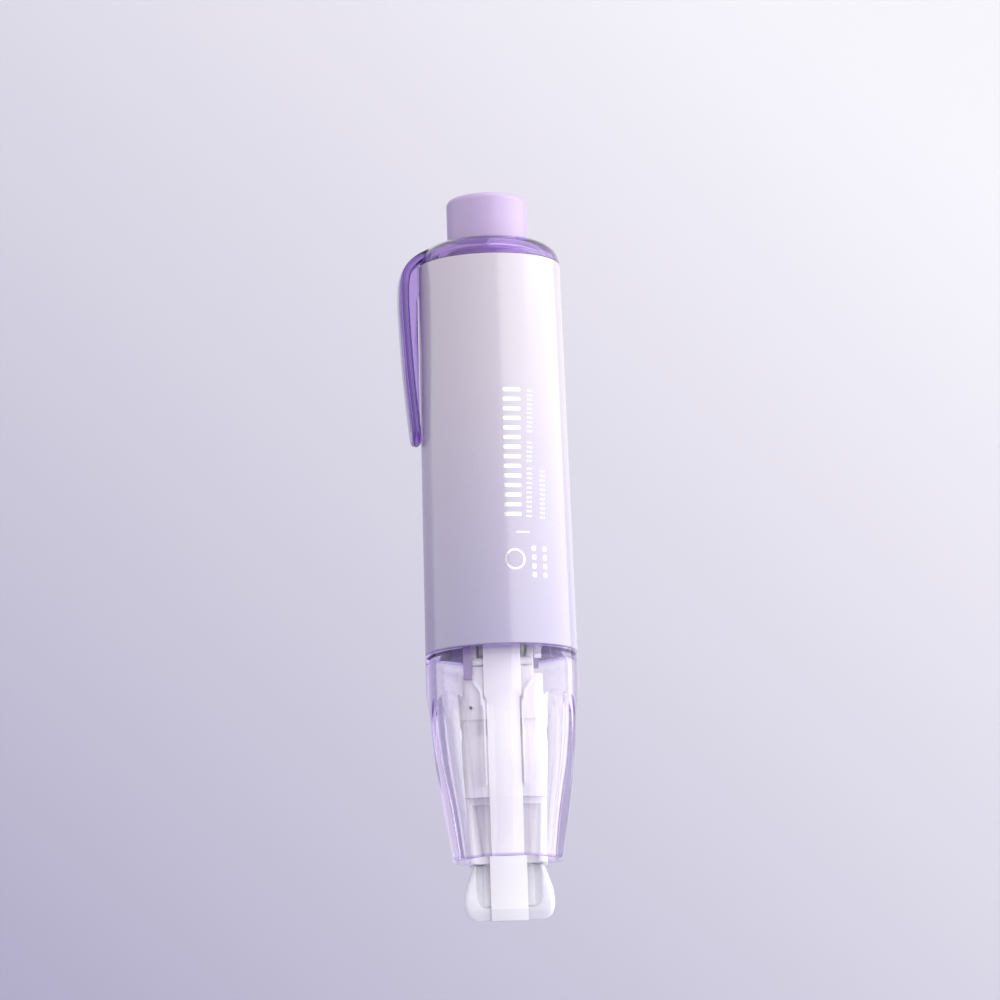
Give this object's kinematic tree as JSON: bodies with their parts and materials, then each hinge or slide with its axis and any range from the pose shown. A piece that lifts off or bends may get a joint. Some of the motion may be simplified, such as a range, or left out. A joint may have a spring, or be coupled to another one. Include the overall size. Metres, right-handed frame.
{
  "type": "correction tape pen",
  "caption": "Push-button correction tape pen: tapered sleeve, clip cap, clear fluted nose, sliding tape cartridge with geared spools and a bell-shaped pressing head.",
  "frame": {"origin": "on the pen's axis at the middle of the fluted grip, 22 mm above the tip of the extended head", "axes": "+Z along the pen towards the push button, -Y towards the side that the tape runs down, -X towards the pocket clip"},
  "size_m": [0.0231, 0.0208, 0.0997],
  "materials": {
    "sleeve_plastic": "satin",
    "purple_clear": "gloss, clear",
    "button_plastic": "gloss",
    "nose_clear": "gloss, clear",
    "white_plastic": "moulded",
    "acetal": "moulded",
    "spring_steel": "drawn wire",
    "carriage_plastic": "moulded",
    "refill_plastic": "satin, translucent",
    "head_plastic": "satin, translucent",
    "tape": "matt",
    "clutch_rubber": "matt",
    "film": "smooth"
  },
  "bodies": {
    "shell": {"barrel_sleeve": "sleeve_plastic", "clip_cap": "purple_clear", "coupling_ring": "white_plastic", "latch_housing": "white_plastic", "return_spring": "spring_steel"},
    "nose": {"nose_grip": "nose_clear"},
    "button": {"push_button": "button_plastic"},
    "cartridge": {"carriage": "carriage_plastic", "spring_washer": "acetal", "rod_clip": "spring_steel", "cartridge_frame": "refill_plastic", "cartridge_cover": "refill_plastic", "guide_pin": "acetal", "applicator_head": "head_plastic", "tape_run": "tape", "film_run": "film"},
    "rotor": {"index_rotor": "acetal"},
    "supply": {"supply_core": "acetal", "tape_roll": "tape", "clutch_ring": "clutch_rubber", "supply_gear": "acetal"},
    "idler": {"idler_gear": "acetal"},
    "takeup": {"takeup_spool": "acetal", "spent_film": "film"}
  },
  "joints": [
    {"name": "cartridge_slide", "type": "slide", "parent": "shell", "child": "cartridge", "axis": [0, 0, 1], "range_m": [-0.0015, 0.008], "deforming": ["return_spring"]},
    {"name": "button_slide", "type": "slide", "parent": "shell", "child": "button", "axis": [0, 0, 1], "range_m": [-0.0015, 0.008]},
    {"name": "rotor_index", "type": "hinge", "parent": "cartridge", "child": "rotor", "pos_m": [0, 0, 0.0592], "axis": [0, 0, 1], "range_deg": [-8.5, 45.1]},
    {"name": "supply_spin", "type": "hinge", "parent": "cartridge", "child": "supply", "pos_m": [0, 0, 0.0292], "axis": [1, 0, 0], "continuous": true},
    {"name": "idler_spin", "type": "hinge", "parent": "cartridge", "child": "idler", "pos_m": [0, 0, 0.0212], "axis": [1, 0, 0], "continuous": true},
    {"name": "takeup_spin", "type": "hinge", "parent": "cartridge", "child": "takeup", "pos_m": [0, 0, 0.016], "axis": [1, 0, 0], "continuous": true},
    {"name": "nose_twist", "type": "hinge", "parent": "shell", "child": "nose", "pos_m": [0, 0, 0.0143], "axis": [0, 0, 1], "range_deg": [0, 25]}
  ],
  "couplings": [
    {"joint": "button_slide", "follows": "cartridge_slide", "ratio": 1},
    {"joint": "rotor_index", "follows": "cartridge_slide", "rad_per_m": 98.175},
    {"joint": "idler_spin", "follows": "supply_spin", "ratio": -1.5},
    {"joint": "takeup_spin", "follows": "supply_spin", "ratio": 2.4}
  ]
}
